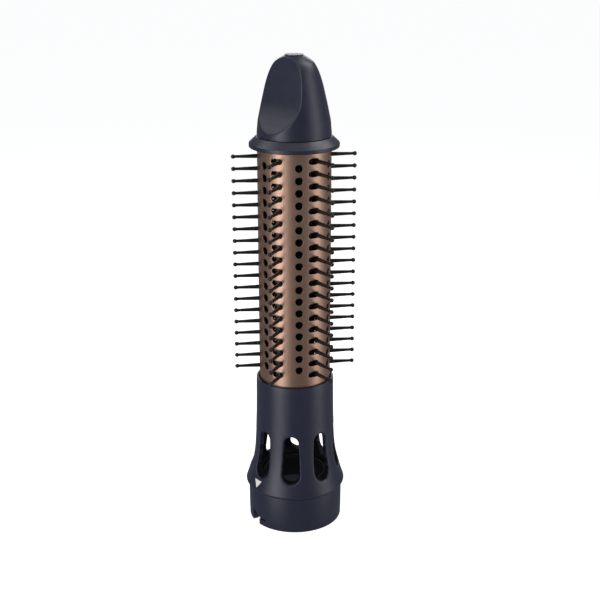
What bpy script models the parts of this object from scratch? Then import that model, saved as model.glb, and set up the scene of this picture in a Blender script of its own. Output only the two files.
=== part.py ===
# Detachable round brush head of a hot air styler: a perforated barrel whose six rows of bristles are drawn in
# by turning the knob at the end. Dimensions are in millimetres and are turned into metres when a mesh is made.
# Azimuths are in degrees, from -Y towards +X. The barrel's axis is Z, and the head stands on its coupling rim.
import math

import bmesh
import bpy
from mathutils import Matrix, Vector

MM = 0.001

# ---- driving dimensions -------------------------------------------------------------------------------------
BARREL_R = 15.0            # barrel outside radius
BARREL_WALL = 0.7
BARREL_Z = (57.3, 166.0)   # hidden ends included
PITCH = 5.0                # spacing along the barrel of bristles and of vents
ROWS = 6
ROW_STEP = 360.0 / ROWS
BRISTLE_AZ = -17.35        # first bristle row
BRISTLE_TOP_Z = 160.6
BRISTLES = 19
VENT_AZ = BRISTLE_AZ + 30
VENT_TOP_Z = 158.1
VENTS = 18
VENT_R = 1.6
SLOT_LONG = 14.9           # slot end beyond the bristle, on the side that the bristle sweeps to (degrees)
SLOT_SHORT = 3.9           # slot end behind the bristle (degrees)
SLOT_H = 2.3

TIP_CENTRE_R = 24.6        # centre of a bristle's ball tip
BRISTLE_R = (0.8, 0.5)     # bristle radius at the flap and next to the ball
BALL_R = 0.9
BRISTLE_ROOT_R = 12.1      # where the bristle's axis meets the flap
PIVOT_R = 12.45            # flap journals on the carrier
PIVOT_LAG = 13.5           # journal azimuth beyond the bristle row (degrees)
FLAP_T = 1.4
FLAP_Z = (67.0, 162.6)
JOURNAL_R = 0.75
JOURNAL_HOLE_R = 1.03

FLANGE_R = 18.25
FLANGE_Z = (164.2, 168.5)
KNOB_Z0 = 168.8
TOP_Z = 200.8
SCOOP_AZ = -35.0

SLOTS8_Z = (22.45, 43.5)   # large openings round the base
NOTCH = (-59.3, -45.6)     # the latch notch's two sides (azimuths)
TONGUE_END_AZ = -34.8
MARK_AZ = -46.7

# ---- helpers ------------------------------------------------------------------------------------------------
for old in list(bpy.data.objects):
    bpy.data.objects.remove(old, do_unlink=True)

parts = bpy.data.collections.new("hot_air_brush_head")
cutters = bpy.data.collections.new("cutters")
bpy.context.scene.collection.children.link(parts)
bpy.context.scene.collection.children.link(cutters)


def point(r, az, z):
    a = math.radians(az)
    return Vector((r * math.sin(a), -r * math.cos(a), z))


def new_object(name, bm, is_part, origin=(0, 0, 0)):
    bmesh.ops.recalc_face_normals(bm, faces=bm.faces)
    o = Vector(origin)
    bmesh.ops.transform(bm, matrix=Matrix.Scale(MM, 4) @ Matrix.Translation(-o), verts=bm.verts)
    mesh = bpy.data.meshes.new(name)
    bm.to_mesh(mesh)
    bm.free()
    obj = bpy.data.objects.new(name, mesh)
    obj.location = o * MM
    (parts if is_part else cutters).objects.link(obj)
    if not is_part:
        obj.hide_render = True
        obj.display_type = "WIRE"
    return obj


def add_profile(bm, profile, place):
    """The outline of a turned shape: (radius, distance along the axis) points, put in space by place(). It runs
    down its outer side, so that the swept faces point out, and it isn't drawn along the axis."""
    ends = list(zip(profile, profile[1:] + profile[:1]))
    if sum(r0 * t1 - r1 * t0 for (r0, t0), (r1, t1) in ends) > 0:
        ends = [(b, a) for a, b in ends]
    corners = {p: bm.verts.new(place(*p)) for p in profile}
    for a, b in ends:
        if a[0] or b[0]:
            bm.edges.new((corners[a], corners[b]))


def sweep(obj, axis, steps):
    mod = obj.modifiers.new("turn", "SCREW")
    mod.axis = axis
    mod.steps = mod.render_steps = steps
    mod.use_merge_vertices = True
    mod.merge_threshold = 0.00001


def turned(name, profile, steps, phase=0.0, centre=(0.0, 0.0), is_part=True, origin=(0, 0, 0)):
    """A solid of revolution about an upright axis. Its first corner lies at the azimuth phase."""
    bm = bmesh.new()
    add_profile(bm, profile, lambda r, z: point(r, phase, z))
    obj = new_object(name, bm, is_part, origin)
    obj.location += Vector((*centre, 0)) * MM
    sweep(obj, "Z", steps)
    return obj


def add_cylinder(bm, x, y, radius, z_low, z_high, sides=8):
    """An upright cylinder with a flat side towards X."""
    place = Matrix.Translation((x, y, (z_low + z_high) / 2)) @ Matrix.Rotation(math.pi / sides, 4, "Z")
    bmesh.ops.create_cone(bm, cap_ends=True, segments=sides, radius1=radius, radius2=radius,
                          depth=z_high - z_low, matrix=place)


def add_hull(bm, low, high):
    """A prism-like solid between two outlines with the same number of points."""
    a = [bm.verts.new(p) for p in low]
    b = [bm.verts.new(p) for p in high]
    n = len(a)
    bm.faces.new(a[::-1])
    bm.faces.new(b)
    for i in range(n):
        bm.faces.new((a[i], a[(i + 1) % n], b[(i + 1) % n], b[i]))


def add_window(bm, outline, r_in, r_out):
    """A cutter through a wall: an outline of (azimuth, z) points, from an inner to an outer radius."""
    add_hull(bm, [point(r_in, az, z) for az, z in outline], [point(r_out, az, z) for az, z in outline])


def boolean(target, tool, operation):
    mod = target.modifiers.new(tool.name, "BOOLEAN")
    mod.operation = operation
    mod.solver = "EXACT"
    mod.object = tool
    return target


def bar(bm, az, r0, r1, width, z0, z1):
    """A straight radial bar."""
    bmesh.ops.create_cube(bm, size=1, matrix=Matrix.Rotation(math.radians(az - 90), 4, "Z")
                          @ Matrix.Translation(((r0 + r1) / 2, 0, (z0 + z1) / 2))
                          @ Matrix.Diagonal((r1 - r0, width, z1 - z0, 1)))


def screw(name, x, y, z_head, head_r, head_h, shank_r, z_tip):
    """A pan-head screw with a cross recess left out, its point turned down."""
    return turned(name, [(0, z_head + head_h), (head_r * 0.7, z_head + head_h), (head_r, z_head + head_h * 0.45),
                         (head_r, z_head), (shank_r, z_head), (shank_r, z_tip + 1.0), (0, z_tip)],
                  8, 22.5, (x, y))


# ---- coupling collar: takes the handle's spigot, with two latch notches and their spring tongues ------------
collar = turned("coupling_collar", [
    (19.6, 0), (19.95, 0.5), (20.05, 5), (20.15, 12), (20.2, 15.5), (19.9, 15.8),
    (18.3, 15.8), (18.3, 8.7), (17.6, 8.5), (17.6, 0.6), (18.0, 0)], 36)
bm = bmesh.new()
for side in (0, 180):
    a0, a1 = NOTCH[0] + side, NOTCH[1] + side
    add_window(bm, [(a0, -1), (a1, -1), (a1, 3.6), (a1 - 3.4, 4.5), (a0 + 1.2, 6.0), (a0, 5.4)], 15.5, 22)
boolean(collar, new_object("notches", bm, False), "DIFFERENCE")
bm = bmesh.new()
for side in (0, 180):
    a0, a1 = NOTCH[1] + side - 0.8, TONGUE_END_AZ + side
    add_window(bm, [(a0, 2.75), (a1, 2.75), (a1, 3.5), (a0, 3.5)], 15.5, 22)
boolean(collar, new_object("tongue_slits", bm, False), "DIFFERENCE")

# ---- base housing: flared shell with eight air openings, the socket, and the seat of the barrel -------------
housing = turned("base_housing", [
    (15.9, 65.4), (16.3, 65.0), (16.4, 62), (16.62, 48), (16.97, 40), (17.33, 34), (17.68, 31), (18.1, 28.3),
    (18.93, 25.3), (19.75, 22.3), (20.66, 19.3), (21.25, 17.5), (21.3, 16.9), (21.0, 16.3), (20.5, 16.1),
    (18.0, 16.1), (18.0, 9.0), (16.4, 9.0), (16.4, 19.9), (14.0, 19.9), (14.0, 21.3), (17.2, 23.6),
    (16.2, 28.0), (15.7, 31), (15.2, 37), (14.9, 49.0), (11.4, 50.0), (11.4, 57.0), (15.45, 57.0), (15.45, 65.4)],
    32)
bm = bmesh.new()
z0, z1 = SLOTS8_Z
for k in range(8):
    c, lo, hi = 45.0 * k, 12.5, 11.25
    half = [(lo * 0.38, z0), (lo * 0.83, z0 + 1.6), (lo, z0 + 4.2),
            (hi, z1 - 3.7), (hi * 0.8, z1 - 1.3), (hi * 0.36, z1)]
    add_window(bm, [(c + a, z) for a, z in half] + [(c - a, z) for a, z in half[::-1]], 11.8, 24)
boolean(housing, new_object("air_openings", bm, False), "DIFFERENCE")
SPIDER_SCREWS = [(12.7, 0.0), (12.7, 120.0), (12.7, 240.0)]
SCREW_HOLE_R = 0.95
bm = bmesh.new()
for r, az in SPIDER_SCREWS:
    p = point(r, az, 0)
    add_cylinder(bm, p.x, p.y, SCREW_HOLE_R, 50.8, 60)
boolean(housing, new_object("ledge_screw_holes", bm, False), "DIFFERENCE")
# pocket of the alignment mark, a triangle that points at the handle
MARK = [(-6.35, 21.05), (6.35, 21.05), (0.0, 17.8)]
bm = bmesh.new()
add_window(bm, [(MARK_AZ + a * 1.254, 19.87 + (z - 19.87) * 1.254) for a, z in MARK], 19.0, 24)
boolean(housing, new_object("mark_pocket", bm, False), "DIFFERENCE")
bm = bmesh.new()
flare = {21.05: 20.13, 17.8: 21.17}
add_hull(bm, [point(flare[z] - 0.7, MARK_AZ + a, z) for a, z in MARK],
         [point(flare[z] + 0.02, MARK_AZ + a, z) for a, z in MARK])
new_object("alignment_mark", bm, True)

# silicone ring in the bore of the socket's ledge
turned("socket_seal", [(12.6, 21.0), (13.6, 21.0), (13.6, 19.4), (13.1, 19.1), (12.6, 19.4)], 24)

# ---- barrel: aluminium tube, six rows of round vents and six rows of slots -----------------------------------
# 18 flats: each row of holes lies in a flat of its own, and the flats straddle the round tube's two radii
flat = math.cos(math.radians(10))
r_out, r_in = BARREL_R + 0.12, (BARREL_R - BARREL_WALL) / flat
barrel = turned("barrel", [(r_out, BARREL_Z[1]), (r_out, BARREL_Z[0]), (r_in, BARREL_Z[0]), (r_in, BARREL_Z[1])],
                18, BRISTLE_AZ + 24)
bm = bmesh.new()
vent_deg = math.degrees(VENT_R / BARREL_R)
for row in range(ROWS):
    az = VENT_AZ + ROW_STEP * row
    for k in range(VENTS):
        z = VENT_TOP_Z - PITCH * k
        add_window(bm, [(az + vent_deg * math.cos(t), z + VENT_R * math.sin(t))
                        for t in [math.radians(60 * j) for j in range(6)]], 12, 18)
boolean(barrel, new_object("vents", bm, False), "DIFFERENCE")
bm = bmesh.new()
for row in range(ROWS):
    az = BRISTLE_AZ + ROW_STEP * row
    for k in range(BRISTLES):
        z = BRISTLE_TOP_Z - PITCH * k
        a0, a1, h = az - SLOT_LONG, az + SLOT_SHORT, SLOT_H / 2
        add_window(bm, [(a0, z), (a0 + 1.0, z - h), (a1 - 1.0, z - h), (a1, z), (a1 - 1.0, z + h),
                        (a0 + 1.0, z + h)], 12, 18)
boolean(barrel, new_object("bristle_slots", bm, False), "DIFFERENCE")

# ---- lower bearing: spider on the housing's ledge, with a bush for the carrier's journal ---------------------
spider = turned("bearing_spider", [(14.0, 59.5), (14.0, 57.3), (11.4, 57.3), (11.4, 59.5)], 24, 7.5)
boolean(spider, turned("spider_hub", [(6.2, 62.6), (6.2, 57.3), (4.5, 57.3), (4.5, 62.6)], 16, is_part=False),
        "UNION")
bm = bmesh.new()
for az in (60, 180, 300):
    bar(bm, az, 5.4, 12.0, 2.4, 57.4, 59.3)
boolean(spider, new_object("spider_arms", bm, False), "UNION")
bm = bmesh.new()
for r, az in SPIDER_SCREWS:
    p = point(r, az, 0)
    add_cylinder(bm, p.x, p.y, SCREW_HOLE_R, 55, 62)
boolean(spider, new_object("spider_screw_holes", bm, False), "DIFFERENCE")
turned("lower_bush", [(4.2, 62.3), (4.2, 57.6), (2.8, 57.6), (2.8, 62.3)], 16)
for i, (r, az) in enumerate(SPIDER_SCREWS):
    p = point(r, az, 0)
    screw(f"spider_screw_{i + 1}", p.x, p.y, 59.8, 1.2, 1.0, 0.62, 51.3)

# ---- end flange: closes the barrel's end; the knob turns on it ----------------------------------------------
turned("end_flange", [
    (17.9, FLANGE_Z[0]), (FLANGE_R, 164.5), (FLANGE_R, 165.8), (17.95, 166.3), (15.35, FLANGE_Z[1]),
    (5.4, FLANGE_Z[1]), (5.4, 166.9), (14.0, 166.9), (14.0, 166.3), (15.45, 166.3), (15.45, FLANGE_Z[0])], 36)

# detent leaf: a curved strip with a raised nose, seated on the flange's top plate
bm = bmesh.new()
half_leaf = [(5, 7.9), (12, 7.2), (30, 6.9), (45, 6.7), (60, 6.6)]
leaf = [(-a, r) for a, r in half_leaf[::-1]] + half_leaf
inner = [point(r - 0.5, 140 + a, 168.8) for a, r in leaf]
outer = [point(r, 140 + a, 168.8) for a, r in leaf]
ring = outer + inner[::-1]
add_hull(bm, ring, [Vector((p.x, p.y, 171.0)) for p in ring])
new_object("detent_spring", bm, True)

# ---- knob: turned dome with two finger scoops, keyed to the carrier's tower ---------------------------------
HEX = 6
knob = turned("knob", [
    (15.0, KNOB_Z0), (15.0, 170.3), (14.9, 171.2), (14.56, 174.8), (14.17, 176.7), (13.35, 180.7), (12.53, 184.6),
    (11.65, 188.5), (10.62, 192.0), (9.37, 195.0), (7.75, 197.5), (5.8, 199.0), (4.3, 199.9), (3.35, TOP_Z - 0.35),
    (3.35, 197.0), (3.0, 197.0), (3.0, 192.0), (1.5, 192.0), (1.5, 184.0), (0, 184.0),
    (0, 171.4), (9.2, 171.4), (9.2, 169.6), (12.8, 169.6), (12.8, KNOB_Z0)], 32, origin=(0, 0, KNOB_Z0))
boolean(knob, turned("knob_socket", [(0, 185.6), (4.95, 185.6), (4.95, 170.8), (0, 170.8)], HEX,
                     is_part=False), "DIFFERENCE")
scoop = [(4.2, 203), (4.54, 199.9), (5.41, 195.2), (5.9, 191.9), (6.6, 188.2), (8.04, 182.1), (9.97, 178.2),
         (12.5, 174.25), (14.0, 172.1), (15.5, 170.0), (24, 170.0), (24, 203)]
bm = bmesh.new()
for side in (0, 180):
    d = point(1, SCOOP_AZ + side, 0)
    s = Vector((-d.y, d.x, 0)) * 17
    add_hull(bm, [d * a - s + Vector((0, 0, z)) for a, z in scoop],
             [d * a + s + Vector((0, 0, z)) for a, z in scoop])
boolean(knob, new_object("finger_scoops", bm, False), "DIFFERENCE")

turned("knob_tip_plug", [(0, TOP_Z), (2.0, TOP_Z - 0.05), (3.05, TOP_Z - 0.4), (3.05, 197.3), (0, 197.3)], 16,
       origin=(0, 0, KNOB_Z0))
turned("knob_screw", [(0, 194.6), (1.8, 194.6), (2.6, 193.6), (2.6, 192.3), (1.15, 192.3), (1.15, 176.5),
                      (0, 175.3)], 12, origin=(0, 0, KNOB_Z0))

# ---- carrier: top disc with its tower, drive tube, and bottom ring with its journal --------------------------


def pivot(row):
    """The journal of a row's flap."""
    return point(PIVOT_R, BRISTLE_AZ + ROW_STEP * row - PIVOT_LAG, 0)


carrier = turned("carrier_top_disc", [
    (13.85, 165.6), (13.85, 163.0), (3.2, 163.0), (3.2, 155.0), (0, 155.0), (0, 165.6)], 24, 7.5,
    origin=(0, 0, KNOB_Z0))
boolean(carrier, turned("carrier_tower", [(0, 185.2), (4.55, 185.2), (4.55, 164.5), (0, 164.5)], HEX,
                        is_part=False), "UNION")
boolean(carrier, turned("tower_bore", [(0, 187), (1.5, 187), (1.5, 174.8), (0, 174.8)], 8, is_part=False),
        "DIFFERENCE")
bm = bmesh.new()
for row in range(ROWS):
    p = pivot(row)
    add_cylinder(bm, p.x, p.y, JOURNAL_HOLE_R, 161, 167)
boolean(carrier, new_object("top_journal_holes", bm, False), "DIFFERENCE")

turned("thrust_washer", [(11.5, 166.6), (11.5, 165.9), (6.4, 165.9), (6.4, 166.6)], 24, origin=(0, 0, KNOB_Z0))
turned("drive_tube", [(4.8, 162.7), (4.8, 66.3), (3.55, 66.3), (3.55, 162.7)], 16, origin=(0, 0, KNOB_Z0))
turned("air_deflector", [(5.1, 162.5), (7.6, 162.5), (7.6, 161.3), (5.9, 152.0), (5.1, 150.5)], 16,
       origin=(0, 0, KNOB_Z0))

ring = turned("carrier_bottom_ring", [(13.85, 66.0), (13.85, 63.6), (10.9, 63.6), (10.9, 66.0)], 24, 7.5,
              origin=(0, 0, KNOB_Z0))
bm = bmesh.new()
for az in (BRISTLE_AZ, BRISTLE_AZ + 120, BRISTLE_AZ + 240):
    bar(bm, az + 30, 2.0, 11.4, 2.4, 63.8, 65.8)
boolean(ring, new_object("ring_spokes", bm, False), "UNION")
boolean(ring, turned("ring_core", [
    (0, 74.0), (3.2, 74.0), (3.2, 66.0), (4.8, 66.0), (4.8, 63.6), (2.65, 63.6), (2.65, 57.4), (2.0, 57.4),
    (2.0, 56.0), (2.65, 56.0), (2.65, 55.0), (0, 55.0)], 16, is_part=False), "UNION")
bm = bmesh.new()
for row in range(ROWS):
    p = pivot(row)
    add_cylinder(bm, p.x, p.y, JOURNAL_HOLE_R, 61, 68)
boolean(ring, new_object("bottom_journal_holes", bm, False), "DIFFERENCE")

# clip in the journal's groove, open on one side
bm = bmesh.new()
clip = [point(4.4, a, 56.3) for a in range(30, 331, 30)] + [point(2.3, a, 56.3) for a in range(330, 29, -30)]
add_hull(bm, clip, [Vector((p.x, p.y, 57.1)) for p in clip])
new_object("retaining_clip", bm, True, (0, 0, KNOB_Z0))

# ---- bristle flaps: each is a long plate with 19 bristles on one edge and a journal at each end of the other --
BRISTLE_PROFILE = [
    (0, TIP_CENTRE_R + 0.85), (0.42, TIP_CENTRE_R + 0.85), (BALL_R, TIP_CENTRE_R),
    (BRISTLE_R[1], TIP_CENTRE_R - 0.75), (BRISTLE_R[0], BRISTLE_ROOT_R - 0.3), (0, BRISTLE_ROOT_R - 0.3)]
for row in range(ROWS):
    az = BRISTLE_AZ + ROW_STEP * row
    out = point(1, az, 0)
    side = Vector((-out.y, out.x, 0))           # towards +azimuth
    p = pivot(row)
    u = p.dot(out)                              # the journal's place along and across the bristles
    v = p.dot(side)
    h = FLAP_T / 2

    def at(a, b, z):
        return out * a + side * b + Vector((0, 0, z))

    bm = bmesh.new()
    outline = [(BRISTLE_ROOT_R - h, 0.75), (BRISTLE_ROOT_R + h, 0.75), (u + h, v), (u + h * 0.5, v - h),
               (u - h * 0.5, v - h), (u - h, v)]
    add_hull(bm, [at(a, b, FLAP_Z[0]) for a, b in outline], [at(a, b, FLAP_Z[1]) for a, b in outline])
    flap = new_object(f"bristle_strip_{row + 1}", bm, True, (p.x, p.y, 0))
    bm = bmesh.new()
    add_profile(bm, BRISTLE_PROFILE, lambda r, a: Vector((a, 0, r)))
    bristles = new_object(f"bristles_{row + 1}", bm, False)
    bristles.location.z = BRISTLE_TOP_Z * MM
    bristles.rotation_euler.z = math.radians(az - 90)
    sweep(bristles, "X", 5)
    rows = bristles.modifiers.new("row", "ARRAY")
    rows.count = BRISTLES
    rows.use_relative_offset = False
    rows.use_constant_offset = True
    rows.constant_offset_displace = (0, 0, -PITCH * MM)
    boolean(flap, bristles, "UNION")
    bm = bmesh.new()
    for z_a, z_b in ((161.9, 165.2), (63.9, 67.7)):
        add_cylinder(bm, p.x, p.y, JOURNAL_R, z_a, z_b)
    boolean(flap, new_object(f"journals_{row + 1}", bm, False), "UNION")

# ---- finishes: colour, roughness and metallic value of each sub-part's own material -------------------------
NAVY_PLASTIC = ((0.0075, 0.0095, 0.0195), 0.37, 0.0)
ROSE_GOLD = ((0.47, 0.315, 0.25), 0.36, 1.0)
BLACK_NYLON = ((0.0045, 0.0045, 0.005), 0.3, 0.0)
GLASS_FILLED = ((0.03, 0.03, 0.032), 0.6, 0.0)
ACETAL = ((0.75, 0.74, 0.7), 0.35, 0.0)
STEEL = ((0.55, 0.55, 0.56), 0.3, 1.0)
SILICONE = ((0.012, 0.012, 0.014), 0.7, 0.0)
WHITE_PRINT = ((0.75, 0.75, 0.72), 0.5, 0.0)
FINISHES = {
    "coupling_collar": NAVY_PLASTIC, "base_housing": NAVY_PLASTIC, "alignment_mark": WHITE_PRINT,
    "socket_seal": SILICONE, "barrel": ROSE_GOLD, "bearing_spider": GLASS_FILLED, "lower_bush": ACETAL,
    "spider_screw": STEEL, "end_flange": NAVY_PLASTIC, "detent_spring": STEEL, "knob": NAVY_PLASTIC,
    "knob_tip_plug": NAVY_PLASTIC, "knob_screw": STEEL, "carrier_top_disc": GLASS_FILLED,
    "thrust_washer": ACETAL, "drive_tube": GLASS_FILLED, "air_deflector": GLASS_FILLED,
    "carrier_bottom_ring": GLASS_FILLED, "retaining_clip": STEEL, "bristle_strip": BLACK_NYLON}

# The modifiers are applied here, so that the cut edges too are shaded sharp
bpy.context.view_layer.update()
depsgraph = bpy.context.evaluated_depsgraph_get()
solids = {obj: bpy.data.meshes.new_from_object(obj.evaluated_get(depsgraph)) for obj in parts.objects}
for obj, mesh in solids.items():
    colour, roughness, metallic = FINISHES[obj.name.rstrip("_0123456789")]
    finish = bpy.data.materials.new(obj.name)
    finish.use_nodes = True
    shader = finish.node_tree.nodes["Principled BSDF"]
    shader.inputs["Base Color"].default_value = (*colour, 1)
    shader.inputs["Roughness"].default_value = roughness
    shader.inputs["Metallic"].default_value = metallic
    mesh.materials.clear()
    mesh.materials.append(finish)
    mesh.shade_smooth()
    mesh.set_sharp_from_angle(angle=math.radians(32))
    obj.modifiers.clear()
    obj.data = mesh
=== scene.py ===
from math import acos, asin, cos, degrees, hypot, pi, radians, sin, tan

import bmesh
import bpy
from mathutils import Matrix, Vector


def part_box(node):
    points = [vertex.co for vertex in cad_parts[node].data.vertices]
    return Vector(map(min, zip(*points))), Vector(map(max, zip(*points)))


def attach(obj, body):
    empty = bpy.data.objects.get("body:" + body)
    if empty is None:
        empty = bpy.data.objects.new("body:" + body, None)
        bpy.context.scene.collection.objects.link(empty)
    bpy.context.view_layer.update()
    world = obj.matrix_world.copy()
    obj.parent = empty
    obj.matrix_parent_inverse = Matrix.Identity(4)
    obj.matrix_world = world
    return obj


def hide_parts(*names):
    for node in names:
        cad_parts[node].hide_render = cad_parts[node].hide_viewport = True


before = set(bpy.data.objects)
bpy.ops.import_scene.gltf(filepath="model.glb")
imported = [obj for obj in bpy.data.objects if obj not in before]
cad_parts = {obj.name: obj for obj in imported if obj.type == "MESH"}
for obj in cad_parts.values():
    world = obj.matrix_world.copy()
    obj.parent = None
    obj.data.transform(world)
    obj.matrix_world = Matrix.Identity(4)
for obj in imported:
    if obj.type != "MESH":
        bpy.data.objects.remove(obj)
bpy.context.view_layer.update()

MM = 0.001


def low(node):
    """The height of a frame node's lowest point."""
    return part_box(node)[0][2] / MM


def high(node):
    """The height of a frame node's highest point."""
    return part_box(node)[1][2] / MM


# ---- driving dimensions ---------------------------------------------------------------------------------
BARREL_R = 15.0
BARREL_WALL = 0.7
ROWS = 6
ROW_STEP = 360 / ROWS
PITCH = 5.0                            # spacing along the barrel of bristles and of vents
BRISTLE_AZ = -17.35                    # first bristle row
BRISTLES = 19
BRISTLE_TOP_Z = high("bristle_strip_1") - 4.6
VENTS = BRISTLES - 1
VENT_R = 1.6
SLOT_FROM, SLOT_TO = -14.9, 3.9        # a slot's two ends, measured from its bristle
SLOT_H = 2.3
ROOT_R = 12.1                          # where a bristle's axis meets its flap
TIP_R = 24.6                           # centre of a bristle's ball
BALL_R = 0.9
PIVOT_R = 12.45
PIVOT_LAG = 13.5
JOURNAL_R = 0.75
FLAP_T = 1.4
KNOB_Z = low("knob")
TIP_Z = high("knob_tip_plug")
SCOOP_AZ = -35.0
BASE_OPENINGS = 8
MARK_AZ = -46.7
STEPS = 120                            # segments round the turned pieces


# ---- mesh helpers ---------------------------------------------------------------------------------------
def point(radius, azimuth, height):
    a = radians(azimuth)
    return Vector((radius * sin(a), -radius * cos(a), height)) * MM


def rounded(outline, arc_steps=5):
    """A closed outline of (radius, height, fillet) corners, with an arc in place of each corner."""
    result = []
    count = len(outline)
    for i, (x, y, fillet) in enumerate(outline):
        here = Vector((x, y))
        to_last = Vector(outline[i - 1][:2]) - here
        to_next = Vector(outline[(i + 1) % count][:2]) - here
        angle = to_last.angle(to_next)
        if fillet <= 0 or angle > pi - 0.02:
            result.append((x, y))
            continue
        reach = min(fillet / tan(angle / 2), 0.48 * to_last.length, 0.48 * to_next.length)
        radius = reach * tan(angle / 2)
        start = here + to_last.normalized() * reach
        end = here + to_next.normalized() * reach
        centre = here + (to_last.normalized() + to_next.normalized()).normalized() * (radius / sin(angle / 2))
        sweep = pi - angle
        for k in range(arc_steps + 1):
            t = k / arc_steps
            way = (start - centre) * sin((1 - t) * sweep) + (end - centre) * sin(t * sweep)
            result.append(tuple(centre + way / sin(sweep)))
    return result


def smooth_curve(points):
    """A function through (x, y) points, as a cubic with the slope of the neighbours at each point."""
    points = sorted(points)
    xs = [p[0] for p in points]
    ys = [p[1] for p in points]
    last = len(points) - 1
    slopes = []
    for i in range(last + 1):
        a, b = max(i - 1, 0), min(i + 1, last)
        slopes.append((ys[b] - ys[a]) / (xs[b] - xs[a]))

    def value(x):
        if x <= xs[0]:
            return ys[0]
        if x >= xs[-1]:
            return ys[-1]
        i = next(k for k in range(last) if x <= xs[k + 1])
        h = xs[i + 1] - xs[i]
        t = (x - xs[i]) / h
        return (ys[i] * (2 * t ** 3 - 3 * t ** 2 + 1) + slopes[i] * h * (t ** 3 - 2 * t ** 2 + t)
                + ys[i + 1] * (3 * t ** 2 - 2 * t ** 3) + slopes[i + 1] * h * (t ** 3 - t ** 2))
    return value


def spread(start, end, count):
    return [start + (end - start) * k / count for k in range(count + 1)]


class Skin:
    """Collects rings of points and the faces between them, and makes one object of them."""

    def __init__(self):
        self.points = []
        self.faces = []

    def ring(self, points):
        first = len(self.points)
        self.points.extend(points)
        return list(range(first, len(self.points)))

    def bridge(self, a, b, closed=True):
        count = len(a)
        for i in range(count if closed else count - 1):
            j = (i + 1) % count
            self.faces.append((a[i], a[j], b[j], b[i]))

    def fan(self, ring, centre):
        middle = self.ring([centre])[0]
        for i in range(len(ring)):
            self.faces.append((ring[i], ring[(i + 1) % len(ring)], middle))

    def lathe(self, outline, steps=STEPS, azimuths=None, closed=True):
        """A turned surface. A point on the axis closes the surface with a fan."""
        azimuths = azimuths or [360 * k / steps for k in range(steps)]
        rings = []
        for r, z in outline:
            rings.append([r, z, self.ring([point(r, a, z) for a in azimuths]) if r > 1e-6 else None])
        count = len(rings)
        for i in range(count if closed else count - 1):
            (_, za, a), (_, zb, b) = rings[i], rings[(i + 1) % count]
            if a and b:
                self.bridge(a, b)
            elif a:
                self.fan(a, Vector((0, 0, zb)) * MM)
            elif b:
                self.fan(b, Vector((0, 0, za)) * MM)

    def mesh(self, name):
        data = bpy.data.meshes.new(name)
        data.from_pydata(self.points, [], self.faces)
        bm = bmesh.new()
        bm.from_mesh(data)
        bmesh.ops.remove_doubles(bm, verts=bm.verts, dist=0.002 * MM)
        bmesh.ops.dissolve_degenerate(bm, edges=bm.edges, dist=0.0005 * MM)
        bmesh.ops.recalc_face_normals(bm, faces=bm.faces)
        bm.to_mesh(data)
        bm.free()
        return data


def in_scene(name, data):
    thing = bpy.data.objects.new(name, data)
    bpy.context.scene.collection.objects.link(thing)
    return thing


def piece(name, data, slot, body, *replaced, sharp=35):
    """A finished piece: smooth shaded, with its slot's material, riding on a body in place of frame nodes."""
    data.shade_smooth()
    data.set_sharp_from_angle(angle=radians(sharp))
    thing = in_scene(name, data)
    data.materials.clear()
    data.materials.append(MATERIALS[slot])
    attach(thing, body)
    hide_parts(*replaced)
    return thing


def after_booleans(name, base, tools):
    """The base mesh with each (mesh, operation) carried out on it in turn."""
    target = in_scene(name + "_base", base)
    helpers = []
    for i, (data, operation) in enumerate(tools):
        helper = in_scene(f"{name}_tool_{i}", data)
        modifier = target.modifiers.new(helper.name, "BOOLEAN")
        modifier.operation = operation
        modifier.solver = "EXACT"
        modifier.object = helper
        helpers.append(helper)
    evaluated = target.evaluated_get(bpy.context.evaluated_depsgraph_get())
    result = bpy.data.meshes.new_from_object(evaluated)
    for thing in [target] + helpers:
        bpy.data.objects.remove(thing, do_unlink=True)
    return result


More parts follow.
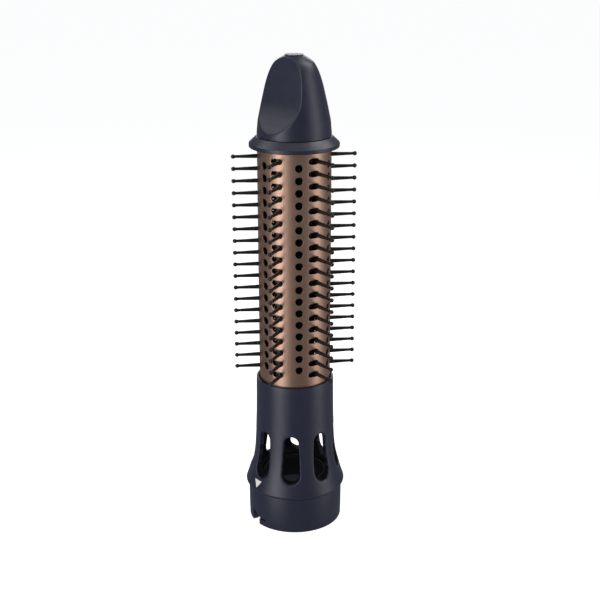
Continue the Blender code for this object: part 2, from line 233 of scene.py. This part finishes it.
# ---- walls with openings --------------------------------------------------------------------------------
class Wall:
    """A turned wall with an outer and an inner radius at each height, made of blank areas and window cells."""

    def __init__(self, outer, inner):
        self.outer = outer
        self.inner = inner
        self.skin = Skin()

    def blank(self, azimuths, heights):
        for radius in (self.outer, self.inner):
            rows = [self.skin.ring([point(radius(z), a, z) for a in azimuths]) for z in heights]
            for a, b in zip(rows, rows[1:]):
                self.skin.bridge(a, b, closed=False)

    def window(self, azimuths, heights, centre, start, end, edge):
        """A cell with a round-ended opening. start and end are the (across, height, radius) of the circles
        at its two ends, across being measured round the wall from the azimuth called centre."""
        border = [(a, heights[0]) for a in azimuths[:-1]] + [(azimuths[-1], z) for z in heights[:-1]]
        border += [(a, heights[-1]) for a in azimuths[:0:-1]] + [(azimuths[0], z) for z in heights[:0:-1]]
        (xa, za, ra), (xb, zb, rb) = start, end
        axis = Vector((xb - xa, zb - za))
        length = axis.length
        spots = []
        for a, z in border:
            here = Vector((radians(a - centre) * self.outer(z), z))
            t = 0.0
            if length > 0:
                t = min(max((here - Vector((xa, za))).dot(axis) / length ** 2, 0), 1)
            foot = Vector((xa, za)) + axis * t
            spots.append((foot, (here - foot).normalized(), ra + (rb - ra) * t))

        def outline(offset, depth):
            """A ring parallel to the opening's edge. depth runs from 0, the outer face, to 1, the inner."""
            ring = []
            for foot, way, r in spots:
                p = foot + way * (r + offset)
                azimuth = centre + degrees(p.x / self.outer(p.y))
                face, back = self.outer(p.y), self.inner(p.y)
                ring.append(point(face + (back - face) * depth, azimuth, p.y))
            return ring

        def halfway(offset, radius):
            """A ring between the cell's border and the opening's edge, on one face of the wall."""
            ring = []
            for (a, z), (foot, way, r) in zip(border, spots):
                p = foot + way * (r + offset)
                azimuth = (a + centre + degrees(p.x / self.outer(p.y))) / 2
                height = (z + p.y) / 2
                ring.append(point(radius(height), azimuth, height))
            return ring

        wall = self.outer(za) - self.inner(za)
        rings = [[point(self.outer(z), a, z) for a, z in border], halfway(edge, self.outer)]
        for t in spread(0, 1, 4):
            bend = t * pi / 2
            rings.append(outline(edge * (1 - sin(bend)), edge * (1 - cos(bend)) / wall))
        rings += [outline(0, 0.5), outline(0, 1), halfway(0, self.inner)]
        rings.append([point(self.inner(z), a, z) for a, z in border])
        made = [self.skin.ring(r) for r in rings]
        for a, b in zip(made, made[1:]):
            self.skin.bridge(a, b)


# ---- materials ------------------------------------------------------------------------------------------
def material(name, colour, roughness, metallic=0.0, grain=1200.0, bump=0.05, mottle=0.06, coat=0.0,
             coat_roughness=0.2, specular=0.5, streak=None, streak_depth=0.0):
    """A Principled material with slight colour mottling, uneven roughness and a fine surface grain.

    grain is the number of bumps in a metre, and mottle the share by which the colour varies. streak is a
    scale for each axis of lines that a tool or a drawing die leaves."""
    made = bpy.data.materials.new(name)
    made.use_nodes = True
    nodes, links = made.node_tree.nodes, made.node_tree.links
    shader = nodes["Principled BSDF"]
    shader.inputs["Metallic"].default_value = metallic
    shader.inputs["Specular IOR Level"].default_value = specular
    shader.inputs["Coat Weight"].default_value = coat
    shader.inputs["Coat Roughness"].default_value = coat_roughness
    place = nodes.new("ShaderNodeTexCoord").outputs["Object"]

    def noise(scale, detail, source=place):
        node = nodes.new("ShaderNodeTexNoise")
        node.inputs["Scale"].default_value = scale
        node.inputs["Detail"].default_value = detail
        links.new(source, node.inputs["Vector"])
        return node.outputs["Fac"]

    def remap(source, start, end):
        node = nodes.new("ShaderNodeMapRange")
        node.inputs["From Min"].default_value = 0.3
        node.inputs["From Max"].default_value = 0.7
        node.inputs["To Min"].default_value = start
        node.inputs["To Max"].default_value = end
        links.new(source, node.inputs["Value"])
        return node.outputs["Result"]

    ramp = nodes.new("ShaderNodeValToRGB")
    ramp.color_ramp.elements[0].position = 0.3
    ramp.color_ramp.elements[1].position = 0.7
    for element, share in zip(ramp.color_ramp.elements, (1 - mottle, 1 + mottle)):
        element.color = [min(c * share, 1) for c in colour] + [1]
    links.new(noise(90, 4), ramp.inputs["Fac"])
    links.new(ramp.outputs["Color"], shader.inputs["Base Color"])
    links.new(remap(noise(260, 3), roughness * 0.92, roughness * 1.08), shader.inputs["Roughness"])

    relief = nodes.new("ShaderNodeBump")
    relief.inputs["Strength"].default_value = bump
    relief.inputs["Distance"].default_value = 0.0002
    links.new(noise(grain, 2), relief.inputs["Height"])
    if streak:
        stretch = nodes.new("ShaderNodeMapping")
        stretch.inputs["Scale"].default_value = streak
        links.new(place, stretch.inputs["Vector"])
        lines = nodes.new("ShaderNodeBump")
        lines.inputs["Strength"].default_value = streak_depth
        lines.inputs["Distance"].default_value = 0.0002
        links.new(noise(1, 2, stretch.outputs["Vector"]), lines.inputs["Height"])
        links.new(lines.outputs["Normal"], relief.inputs["Normal"])
    links.new(relief.outputs["Normal"], shader.inputs["Normal"])
    return made


FINISHES = {
    "navy_plastic": dict(colour=(0.0055, 0.008, 0.0262), roughness=0.37, grain=2600, bump=0.04, specular=0.74),
    "rose_gold_aluminium": dict(colour=(0.53, 0.335, 0.25), roughness=0.36, metallic=1.0, grain=3000, bump=0.03,
                                mottle=0.03, streak=(2200, 2200, 40), streak_depth=0.03),
    "black_nylon": dict(colour=(0.0045, 0.0045, 0.005), roughness=0.3, grain=2200, bump=0.04),
    "glass_filled_plastic": dict(colour=(0.01, 0.01, 0.011), roughness=0.65, grain=900, bump=0.2, mottle=0.15,
                                 specular=0.2),
    "acetal": dict(colour=(0.72, 0.71, 0.67), roughness=0.35, grain=1500, bump=0.04),
    "steel": dict(colour=(0.55, 0.55, 0.56), roughness=0.28, metallic=1.0, streak=(900, 900, 60),
                  streak_depth=0.1),
    "silicone": dict(colour=(0.01, 0.01, 0.012), roughness=0.75, grain=1100, bump=0.1, specular=0.2),
    # the base's inside faces: matt, and darker than navy_plastic, which is painted shade in the hollow
    "matt_inside_painted_shade": dict(colour=(0.0035, 0.0045, 0.008), roughness=0.7, grain=1100, bump=0.12, mottle=0.12,
                           specular=0.2),
    "white_mark": dict(colour=(0.72, 0.71, 0.68), roughness=0.45, grain=3000, bump=0.05),
}
MATERIALS = {name: material(name, **finish) for name, finish in FINISHES.items()}


# ---- barrel: anodised tube with six rows of vents and six rows of slots ---------------------------------
def make_barrel():
    wall = Wall(lambda z: BARREL_R, lambda z: BARREL_R - BARREL_WALL)
    top = BRISTLE_TOP_Z + PITCH            # the hidden ends lie in the flange and in the base
    bottom = BRISTLE_TOP_Z - PITCH * (BRISTLES + 1.625)
    row = PITCH / 8
    column = 3.0
    slot_area = (-18, 6)
    vent_area = (18, 42)
    edge = 0.12                            # rounding of the holes' outer edges

    def columns(area, az):
        return spread(az + area[0], az + area[1], round((area[1] - area[0]) / column))

    def rows(start, end):
        return spread(start, end, round((end - start) / row))

    arc = radians(1) * BARREL_R
    half = SLOT_H / 2
    slot_start, slot_end = SLOT_FROM * arc + half, SLOT_TO * arc - half
    for k in range(ROWS):
        az = BRISTLE_AZ + ROW_STEP * k
        wall.blank(columns((slot_area[1], vent_area[0]), az), rows(bottom, top))
        across = columns(slot_area, az)
        wall.blank(across, rows(BRISTLE_TOP_Z + PITCH / 2, top))
        wall.blank(across, rows(bottom, BRISTLE_TOP_Z - PITCH * (BRISTLES - 0.5)))
        for i in range(BRISTLES):
            z = BRISTLE_TOP_Z - PITCH * i
            cell = rows(z - PITCH / 2, z + PITCH / 2)
            wall.window(across, cell, az, (slot_start, z, half), (slot_end, z, half), edge)
        across = columns(vent_area, az)
        vent_az = az + ROW_STEP / 2
        wall.blank(across, rows(BRISTLE_TOP_Z, top))
        wall.blank(across, rows(bottom, BRISTLE_TOP_Z - PITCH * VENTS))
        for i in range(VENTS):
            z = BRISTLE_TOP_Z - PITCH * (i + 0.5)
            cell = rows(z - PITCH / 2, z + PITCH / 2)
            wall.window(across, cell, vent_az, (0, z, VENT_R), (0, z, VENT_R), edge)
        for z in (top, bottom):
            azimuths = columns((slot_area[0], vent_area[1]), az)
            radii = (BARREL_R, BARREL_R - BARREL_WALL)
            ends = [wall.skin.ring([point(r, a, z) for a in azimuths]) for r in radii]
            wall.skin.bridge(*ends, closed=False)
    piece("barrel_shell", wall.skin.mesh("barrel_shell"), "rose_gold_aluminium", "root", "barrel", sharp=40)


# ---- bristle strips: a flap with 19 moulded bristles, hinged on its two journals ------------------------
def make_bristles(az):
    """The bristles alone, as one mesh of closed solids that start inside the flap."""
    out = point(1, az, 0).normalized()
    side = Vector((0, 0, 1)).cross(out)
    root = ROOT_R + FLAP_T / 2
    body_r, neck_r = 0.93, 0.6
    shape = [(ROOT_R + 0.1, 1.15), (root, 1.15), (root + 0.1, 1.08), (root + 0.3, 1.0), (root + 0.6, 0.95),
             (root + 1.0, body_r)]
    neck = asin(neck_r / BALL_R)
    shape.append((TIP_R - BALL_R * cos(neck) - 1.2, neck_r))
    for k in range(13):
        bend = neck + (pi - neck) * k / 13
        shape.append((TIP_R - BALL_R * cos(bend), BALL_R * sin(bend)))
    skin = Skin()
    for i in range(BRISTLES):
        z = BRISTLE_TOP_Z - PITCH * i
        centre = Vector((0, 0, z))
        rings = []
        for a, r in shape:
            loop = [(centre + out * a + side * r * cos(t) + Vector((0, 0, r * sin(t)))) * MM
                    for t in [2 * pi * k / 16 for k in range(16)]]
            rings.append(skin.ring(loop))
        for a, b in zip(rings, rings[1:]):
            skin.bridge(a, b)
        skin.faces.append(tuple(rings[0]))
        skin.fan(rings[-1], (centre + out * (TIP_R + BALL_R)) * MM)
    return skin.mesh("bristles")


def prism(outline, heights, chamfer):
    """An upright prism with chamfered ends. The outline is a list of (x, y) in millimetres."""
    middle = Vector((sum(p[0] for p in outline), sum(p[1] for p in outline))) / len(outline)
    skin = Skin()
    rings = []
    z0, z1 = heights
    for z, inset in ((z0, chamfer), (z0 + chamfer, 0), (z1 - chamfer, 0), (z1, chamfer)):
        loop = []
        for x, y in outline:
            p = Vector((x, y)) - middle
            p = middle + p * (1 - inset / p.length)
            loop.append(Vector((p.x, p.y, z)) * MM)
        rings.append(skin.ring(loop))
    for a, b in zip(rings, rings[1:]):
        skin.bridge(a, b)
    skin.faces += [tuple(rings[0]), tuple(rings[-1])]
    return skin


def make_strips():
    az = BRISTLE_AZ
    out = point(1, az, 0).normalized()
    side = Vector((0, 0, 1)).cross(out)
    u = PIVOT_R * cos(radians(PIVOT_LAG))
    v = -PIVOT_R * sin(radians(PIVOT_LAG))
    half = FLAP_T / 2
    nose = half - 0.01                     # the flap is round where it hinges
    section = rounded([(ROOT_R - half, 0.75, 0.35), (ROOT_R + half, 0.75, 0.2), (u + half, v - half, nose),
                       (u - half, v - half, nose)])
    plane = [out * a + side * b for a, b in section]
    strip_low, strip_high = low("bristle_strip_1"), high("bristle_strip_1")
    plate_z = (strip_low + 3.1, strip_high - 2.6)
    plate = prism([(p.x, p.y) for p in plane], plate_z, 0.15).mesh("plate")
    pivot = out * u + side * v
    turns = [2 * pi * k / 24 for k in range(24)]
    pin = [(pivot.x + JOURNAL_R * cos(t), pivot.y + JOURNAL_R * sin(t)) for t in turns]
    tools = [(make_bristles(az), "UNION")]
    for z0, z1 in ((strip_low, plate_z[0] + 0.7), (plate_z[1] - 0.7, strip_high)):
        tools.append((prism(pin, (z0, z1), 0.15).mesh("journal"), "UNION"))
    first = after_booleans("strip", plate, tools)
    for k in range(ROWS):
        data = first.copy()
        data.transform(Matrix.Rotation(radians(ROW_STEP * k), 4, "Z"))
        piece(f"bristles_{k + 1}", data, "black_nylon", f"strip_{k + 1}", f"bristle_strip_{k + 1}", sharp=45)


# ---- knob: turned dome with two finger scoops -----------------------------------------------------------
def make_knob():
    dome = smooth_curve([(KNOB_Z + dz, r) for r, dz in (
        (15.0, 0), (15.0, 1.5), (14.9, 2.4), (14.56, 6.0), (14.17, 7.9), (13.35, 11.9), (12.53, 15.8),
        (11.65, 19.7), (10.62, 23.2), (9.37, 26.2), (7.75, 28.7), (5.8, 30.2), (4.3, 31.1), (3.3, 31.65))])
    scoop = smooth_curve([(KNOB_Z + dz, d) for d, dz in (
        (15.5, 1.2), (14.0, 3.3), (12.5, 5.45), (9.97, 9.4), (8.04, 13.3), (6.6, 19.4), (5.9, 23.1),
        (5.41, 26.4), (4.54, 31.1), (4.2, 34.2))])
    soften = 0.35                        # how far from the scoop's edge the rounding starts
    side_steps = 12                      # azimuth steps on each side of the scoop's edge

    def half_scoop(z):
        """Azimuths from a scoop's middle to its side, packed closely where the scoop's edge passes."""
        ratio = min(scoop(z) / dome(z), 1)
        crease = min(max(degrees(acos(ratio)), 10), 78)
        band = min(max(degrees(soften / (dome(z) * tan(radians(crease)))), 0.8), 5)
        inner = spread(0, crease - band, side_steps)[:-1]
        edge = spread(crease - band, crease + band, 6)[:-1]
        return inner + edge + spread(crease + band, 90, side_steps)[:-1]

    def radius(z, offset):
        a, b = dome(z), scoop(z) / max(cos(radians(offset)), 1e-3)
        share = max(soften - abs(a - b), 0) / soften
        return min(a, b) - share ** 2 * soften / 4

    def offsets(z):
        """Every azimuth round the knob, each with its offset from the nearer scoop's middle."""
        part = half_scoop(z)
        turn = [(a, a) for a in part] + [(180 - a, a) for a in [90] + part[:0:-1]]
        turn += [(180 + a, a) for a in part] + [(360 - a, a) for a in [90] + part[:0:-1]]
        return turn

    heights = [KNOB_Z + 0.25 + dz for dz in spread(0, 0.95, 3)[:-1] + spread(0.95, 6.95, 50)[:-1]
               + spread(6.95, 27.0, 66)[:-1] + spread(27.0, 31.2, 26)]
    skin = Skin()

    def level(z, shape):
        return skin.ring([point(shape(a, d), SCOOP_AZ + a, z) for a, d in offsets(z)])

    seam = high("end_flange") + 0.08     # the knob turns just clear of the flange
    chamfer = ((seam, 0.2), (seam + 0.08, 0.05))
    rings = [level(z, lambda a, d: radius(KNOB_Z, d) - inset) for z, inset in chamfer]
    rings += [level(z, lambda a, d: radius(z, d)) for z in heights]
    top, rim = heights[-1], 3.35
    tower_top, tower_bottom = KNOB_Z + 16.8, KNOB_Z + 2.6
    bore = [(top + 0.2, rim + 0.45), (top + 0.24, rim + 0.12), (top + 0.12, rim), (TIP_Z - 3.8, rim),
            (TIP_Z - 3.8, 3.0), (TIP_Z - 8.8, 3.0), (TIP_Z - 8.8, 1.5), (tower_top, 1.5)]

    def ring_at(z, shape):
        return skin.ring([point(shape(SCOOP_AZ + a), SCOOP_AZ + a, z) for a, d in offsets(top)])

    for z, r in bore:
        rings.append(ring_at(z, lambda a: r))

    def hexagon(a):
        """The radius of the tower's six-sided socket at an azimuth."""
        return 4.95 * cos(pi / 6) / cos(radians((a % 60) - 30))

    rings.append(ring_at(tower_top, hexagon))
    rings.append(ring_at(tower_bottom, hexagon))
    for z, r in ((tower_bottom, 9.2), (KNOB_Z + 0.8, 9.2), (KNOB_Z + 0.8, 12.8), (seam, 12.8)):
        rings.append(ring_at(z, lambda a: r))
    for a, b in zip(rings, rings[1:] + rings[:1]):
        skin.bridge(a, b)
    piece("knob_dome", skin.mesh("knob_dome"), "navy_plastic", "knob", "knob", sharp=40)

    plug = Skin()
    plug.lathe([(0, TIP_Z - 0.2), (1.6, TIP_Z - 0.21)]
               + rounded([(2.0, TIP_Z - 0.22, 0), (3.2, TIP_Z - 0.26, 0.12), (3.2, TIP_Z - 3.5, 0.2),
                          (2.0, TIP_Z - 3.5, 0)]) + [(0, TIP_Z - 3.5)], 64, closed=False)
    piece("tip_plug", plug.mesh("tip_plug"), "navy_plastic", "knob", "knob_tip_plug")


# ---- end flange -----------------------------------------------------------------------------------------
def make_flange():
    z0, z1 = low("end_flange"), high("end_flange")
    skin = Skin()
    skin.lathe(rounded([
        (18.25, z0, 0.35), (18.25, z0 + 1.55, 0.2), (15.35, z1, 0.2), (5.4, z1, 0.15),
        (5.4, z1 - 1.6, 0), (14.0, z1 - 1.6, 0), (14.0, z1 - 2.2, 0), (15.45, z1 - 2.2, 0),
        (15.45, z0, 0.15)]))
    piece("flange_ring", skin.mesh("flange_ring"), "navy_plastic", "root", "end_flange")


# ---- coupling collar with its latch notches -------------------------------------------------------------
def make_collar():
    z0, z1 = low("coupling_collar"), high("coupling_collar")
    collar = Skin()
    collar.lathe(rounded([
        (19.95, z0, 0.4), (20.05, z0 + 4, 3), (20.2, z1, 0.25), (18.3, z1, 0.1), (18.3, z0 + 8.7, 0.1),
        (17.6, z0 + 8.5, 0.1), (17.6, z0, 0.4)]), 180)
    latch, tongue, slit_end = -59.3, -45.6, -34.8
    arc = radians(1) * 20.1

    def window(outline):
        """A cutter through the collar's wall, from an outline of (azimuth, height) points."""
        cutter = Skin()
        rings = [cutter.ring([point(r, a, z) for a, z in outline]) for r in (16.5, 21.5)]
        cutter.bridge(*rings)
        cutter.faces += [tuple(rings[0]), tuple(rings[1])]
        return cutter.mesh("cutter")

    def shaped(corners):
        """An outline with arcs at its corners, worked out flat and then bent round the collar."""
        flat = rounded([(a * arc, z, fillet) for a, z, fillet in corners], 6)
        return [(x / arc, z) for x, z in flat]

    tools = []
    for side in (0, 180):
        left, right, end = latch + side, tongue + side, slit_end + side
        mouth = shaped([(left - 2.5, -1, 0), (right, -1, 0), (right, 3.6, 0.1), (right - 3.4, 4.5, 0.8),
                        (left + 0.8, 6.2, 0.4), (left, 5.8, 0.3), (left, 1.1, 0.9), (left - 2.5, -0.1, 0.2)])
        slit = shaped([(right - 0.8, 2.75, 0), (end, 2.75, 0.3), (end, 3.5, 0.3), (right - 0.8, 3.5, 0)])
        tools += [(window(mouth), "DIFFERENCE"), (window(slit), "DIFFERENCE")]
    data = after_booleans("collar", collar.mesh("collar"), tools)
    piece("collar_ring", data, "navy_plastic", "root", "coupling_collar")


# ---- base housing: flared shell with eight openings -----------------------------------------------------
def base_outer(z0, z1):
    """The radius of the flared outside at a height."""
    return smooth_curve([(z0 + dz, r) for dz, r in (
        (9.2, 20.66), (12.2, 19.75), (15.2, 18.98), (18.3, 18.18), (21, 17.72), (24, 17.36), (30, 16.97),
        (38, 16.62), (46, 16.47), (54, 16.38), (z1 - z0, 16.3))])


def make_base():
    z0 = low("base_housing") + 1.1
    z1 = high("base_housing")
    outer = base_outer(z0, z1)
    inner = smooth_curve([(z0 + dz, r) for dz, r in (
        (11.2, 14.0), (12.4, 15.4), (13.6, 16.4), (17.9, 16.2), (20.9, 15.7), (26.9, 15.2), (38.9, 14.9))])
    wall = Wall(outer, inner)
    start, end = z0 + 11.5, z0 + 35.5
    heights = spread(start, end, 20)
    step = 360 / BASE_OPENINGS
    foot, head, edge = (0, z0 + 16.4, 4.05), (0, z0 + 30.1, 3.3), 0.45
    for k in range(BASE_OPENINGS):
        az = step * k
        wall.window(spread(az - 18, az + 18, 12), heights, az, foot, head, edge)
        wall.blank(spread(az + 18, az + 27, 3), heights)
    azimuths = [3.0 * k for k in range(STEPS)]
    upper = [(outer(z), z) for z in spread(end, z1 - 0.55, 16)]
    upper += rounded([(16.3, z1 - 0.56, 0), (16.3, z1, 0.45), (15.45, z1, 0.12), (15.45, z1 - 8.4, 0),
                      (11.4, z1 - 8.4, 0), (11.4, z1 - 15.4, 0), (14.9, z1 - 16.4, 0.5)])[1:]
    upper += [(inner(z), z) for z in spread(z1 - 17.4, end, 6)]
    wall.skin.lathe(upper, azimuths=azimuths, closed=False)
    bottom, ledge = low("base_housing"), z0 + 6.1
    lower = [(inner(start), start), (inner(z0 + 11.3), z0 + 11.3), (14.0, z0 + 9.9), (16.4, z0 + 9.9)]
    lower += [(16.4, bottom), (18.0, bottom), (18.0, ledge)]
    rim_top, rim_tall, rim_slope = z0 + 9.2, 2.25, 0.34
    lower += rounded([(18.5, ledge, 0), (20.9, ledge, 0.6),
                      (20.68 + rim_tall * rim_slope, rim_top - rim_tall, 0.9), (20.68, rim_top, 0)], 8)
    lower += [(outer(z), z) for z in spread(z0 + 9.3, start, 5)[1:]]
    wall.skin.lathe(lower, azimuths=azimuths, closed=False)
    data = wall.skin.mesh("base_shell")
    shell = piece("base_shell", data, "navy_plastic", "root", "base_housing", sharp=40)
    # inward faces get a second material whose darker colour is painted shade
    shell.data.materials.append(MATERIALS["matt_inside_painted_shade"])
    for face in shell.data.polygons:
        if face.normal.x * face.center.x + face.normal.y * face.center.y < 0:
            face.material_index = 1      # the moulding is matt inside, and its darker colour is painted shade in the hollow
    return lambda z: outer(max(z, rim_top)) + max(rim_top - z, 0) * rim_slope


def make_mark(outer):
    """A printed triangle with soft corners that follows the flare, pointing at the handle."""
    top, bottom = high("alignment_mark") + 0.3, low("alignment_mark") + 0.3
    middle_z = top - (top - bottom) / 3
    corners = [(-6.6, top, 0.12), (6.6, top, 0.12), (0.0, bottom, 0.12)]
    scale = radians(1) * 20.4
    flat = rounded([(a * scale, z, fillet) for a, z, fillet in corners], 4)
    outline = []
    for (xa, za), (xb, zb) in zip(flat, flat[1:] + flat[:1]):
        count = max(round(hypot(xb - xa, zb - za) / 0.4), 1)
        outline += [(xa + (xb - xa) * k / count, za + (zb - za) * k / count) for k in range(count)]
    skin = Skin()

    def ring(share, lift):
        loop = []
        for x, z in outline:
            height = middle_z + (z - middle_z) * share
            loop.append(point(outer(height) + lift, MARK_AZ + x * share / scale, height))
        return skin.ring(loop)

    centre_out = point(outer(middle_z) + 0.05, MARK_AZ, middle_z)
    centre_in = point(outer(middle_z) - 0.5, MARK_AZ, middle_z)
    rings = [ring(share, 0.05) for share in (0.3, 0.6, 0.97)] + [ring(1, 0.02)]
    rings += [ring(1, -0.5), ring(0.6, -0.5), ring(0.3, -0.5)]
    for a, b in zip(rings, rings[1:]):
        skin.bridge(a, b)
    skin.fan(rings[0], centre_out)
    skin.fan(rings[-1], centre_in)
    piece("mark_triangle", skin.mesh("mark_triangle"), "white_mark", "root", "alignment_mark")


# ---- frame nodes that stay, each with its slot's material -----------------------------------------------
KEPT = {
    "glass_filled_plastic": ("bearing_spider", "carrier_top_disc", "drive_tube", "air_deflector",
                             "carrier_bottom_ring"),
    "acetal": ("lower_bush", "thrust_washer"),
    "steel": ("spider_screw_1", "spider_screw_2", "spider_screw_3", "knob_screw", "detent_spring",
              "retaining_clip"),
    "silicone": ("socket_seal",),
}


def finish_kept_nodes():
    for slot, names in KEPT.items():
        for name in names:
            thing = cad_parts[name]
            if not thing.material_slots:
                thing.data.materials.append(MATERIALS[slot])
            for material_slot in thing.material_slots:
                material_slot.material = MATERIALS[slot]


# ---- camera, lights and floor ---------------------------------------------------------------------------
CAMERA_AZ = 5.67                       # where the camera stands
CAMERA_DISTANCE = 456.8
CAMERA_Z = 256.3
CAMERA_TURN = 5.39                     # where it looks: the head stands a little left of the middle
CAMERA_DIP = 19.0
CAMERA_ROLL = -0.06
CAMERA_LENS = 69.25
LIT_Z = 110                            # height that the lights face
FLOOR_GLOW = 0.81
FLOOR_SIZE = 4000                      # from its middle to each side


def aim(thing, target):
    way = Vector(target) * MM - thing.location
    thing.rotation_euler = way.to_track_quat("-Z", "Y").to_euler()


def make_camera():
    data = bpy.data.cameras.new("camera")
    data.lens = CAMERA_LENS
    data.sensor_width = 36
    thing = in_scene("camera", data)
    thing.location = point(CAMERA_DISTANCE, CAMERA_AZ, CAMERA_Z)
    turn = Matrix.Rotation(radians(CAMERA_TURN), 4, "Z")
    dip = Matrix.Rotation(radians(90 - CAMERA_DIP), 4, "X")
    roll = Matrix.Rotation(radians(CAMERA_ROLL), 4, "Z")
    thing.rotation_euler = (turn @ dip @ roll).to_euler()
    bpy.context.scene.camera = thing


def softbox(name, azimuth, distance, height, width, tall, power):
    """A rectangular light beside the camera by the given azimuth, facing the middle of the head."""
    data = bpy.data.lights.new(name, "AREA")
    data.shape = "RECTANGLE"
    data.size = width * MM
    data.size_y = tall * MM
    data.energy = power
    thing = in_scene(name, data)
    thing.location = point(distance, CAMERA_AZ + azimuth, height)
    thing.visible_camera = False
    aim(thing, (0, 0, LIT_Z))


def make_lights():
    # tall strips, which reach below the head so that their reflections run its whole height
    for azimuth, power in ((-60, 0.07), (-47, 0.35), (-32, 0.16), (60, 0.09), (75, 0.20), (92, 0.04)):
        softbox(f"strip_light_{azimuth}", azimuth, 320, 140, 120, 500, power)
    softbox("high_right", 112, 250, 450, 220, 220, 0.42)
    softbox("high_left", -108, 260, 440, 190, 190, 0.18)
    softbox("back", 180, 400, 338, 300, 150, 0.4)
    softbox("overhead", 0, 60, 440, 300, 300, 0.13)


def make_world():
    """White behind the head, and a dimmer, cooler fill from all round it."""
    world = bpy.data.worlds.new("studio")
    bpy.context.scene.world = world
    world.use_nodes = True
    nodes, links = world.node_tree.nodes, world.node_tree.links
    backdrop = nodes["Background"]
    backdrop.inputs["Color"].default_value = (1, 1, 1, 1)
    backdrop.inputs["Strength"].default_value = 1.0
    fill = nodes.new("ShaderNodeBackground")
    fill.inputs["Color"].default_value = (0.93, 0.95, 1, 1)
    fill.inputs["Strength"].default_value = 0.19
    rays = nodes.new("ShaderNodeLightPath")
    mix = nodes.new("ShaderNodeMixShader")
    links.new(rays.outputs["Is Camera Ray"], mix.inputs["Fac"])
    links.new(fill.outputs["Background"], mix.inputs[1])
    links.new(backdrop.outputs["Background"], mix.inputs[2])
    links.new(mix.outputs["Shader"], nodes["World Output"].inputs["Surface"])


def make_floor():
    floor = Skin()
    corners = ((-1, -1), (1, -1), (1, 1), (-1, 1))
    floor.faces.append(tuple(floor.ring([Vector((x, y, 0)) * FLOOR_SIZE * MM for x, y in corners])))
    thing = in_scene("floor", floor.mesh("floor"))
    paper = material("floor_paper", (0.9, 0.9, 0.9), 0.9, grain=300, bump=0.02, mottle=0.01, specular=0.1)
    shader = paper.node_tree.nodes["Principled BSDF"]
    shader.inputs["Emission Color"].default_value = (1, 1, 1, 1)
    shader.inputs["Emission Strength"].default_value = FLOOR_GLOW
    thing.data.materials.append(paper)
    thing.visible_glossy = False           # the softboxes alone show in the head's sheen
    thing.visible_shadow = False           # and they reach below the paper that the head stands on


bpy.context.scene.view_settings.view_transform = "Standard"
make_camera()
make_lights()
make_world()
make_floor()
make_barrel()
make_strips()
make_knob()
make_flange()
make_collar()
make_mark(make_base())
finish_kept_nodes()
